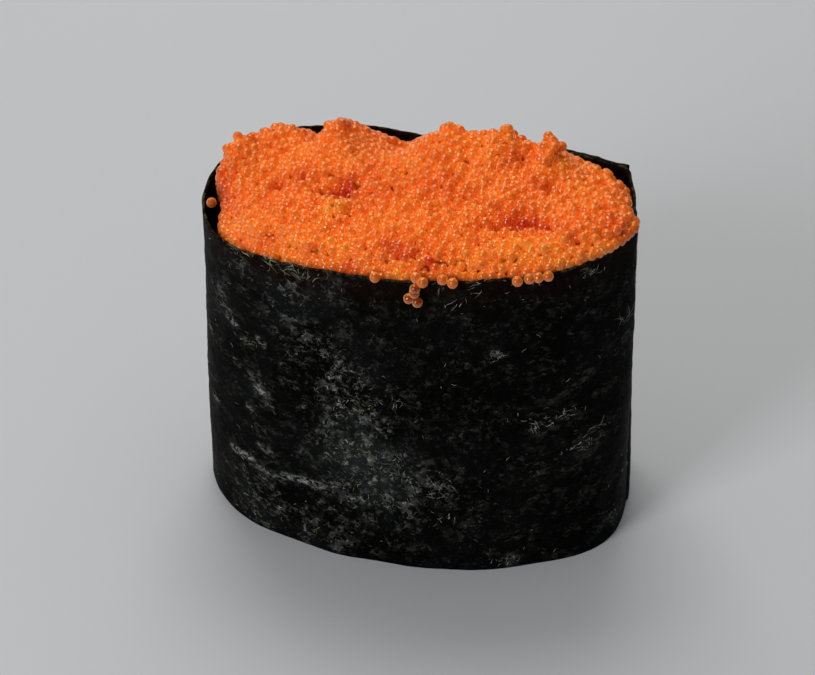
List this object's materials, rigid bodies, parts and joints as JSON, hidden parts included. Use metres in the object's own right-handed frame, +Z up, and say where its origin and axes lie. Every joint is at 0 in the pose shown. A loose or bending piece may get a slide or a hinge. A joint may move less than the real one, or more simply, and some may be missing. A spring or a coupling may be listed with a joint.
{
  "type": "gunkan sushi",
  "caption": "Upright oval of rice wrapped in a tall band of nori and heaped with small orange fish roe",
  "frame": {"origin": "on the floor under the middle of the bounding box", "axes": "+X along the oval's long axis, +Z up, -Y out of the front, where the roe hangs over the rim"},
  "size_m": [0.049, 0.0334, 0.0442],
  "materials": {
    "nori": "near-black green, semi-gloss, fibrous",
    "rice": "moist cooked rice, translucent white",
    "roe": "wet translucent orange eggs"
  },
  "bodies": {
    "root": {"nori_wrap": "nori", "rice_bed": "rice", "roe_heap": "roe"}
  },
  "joints": []
}
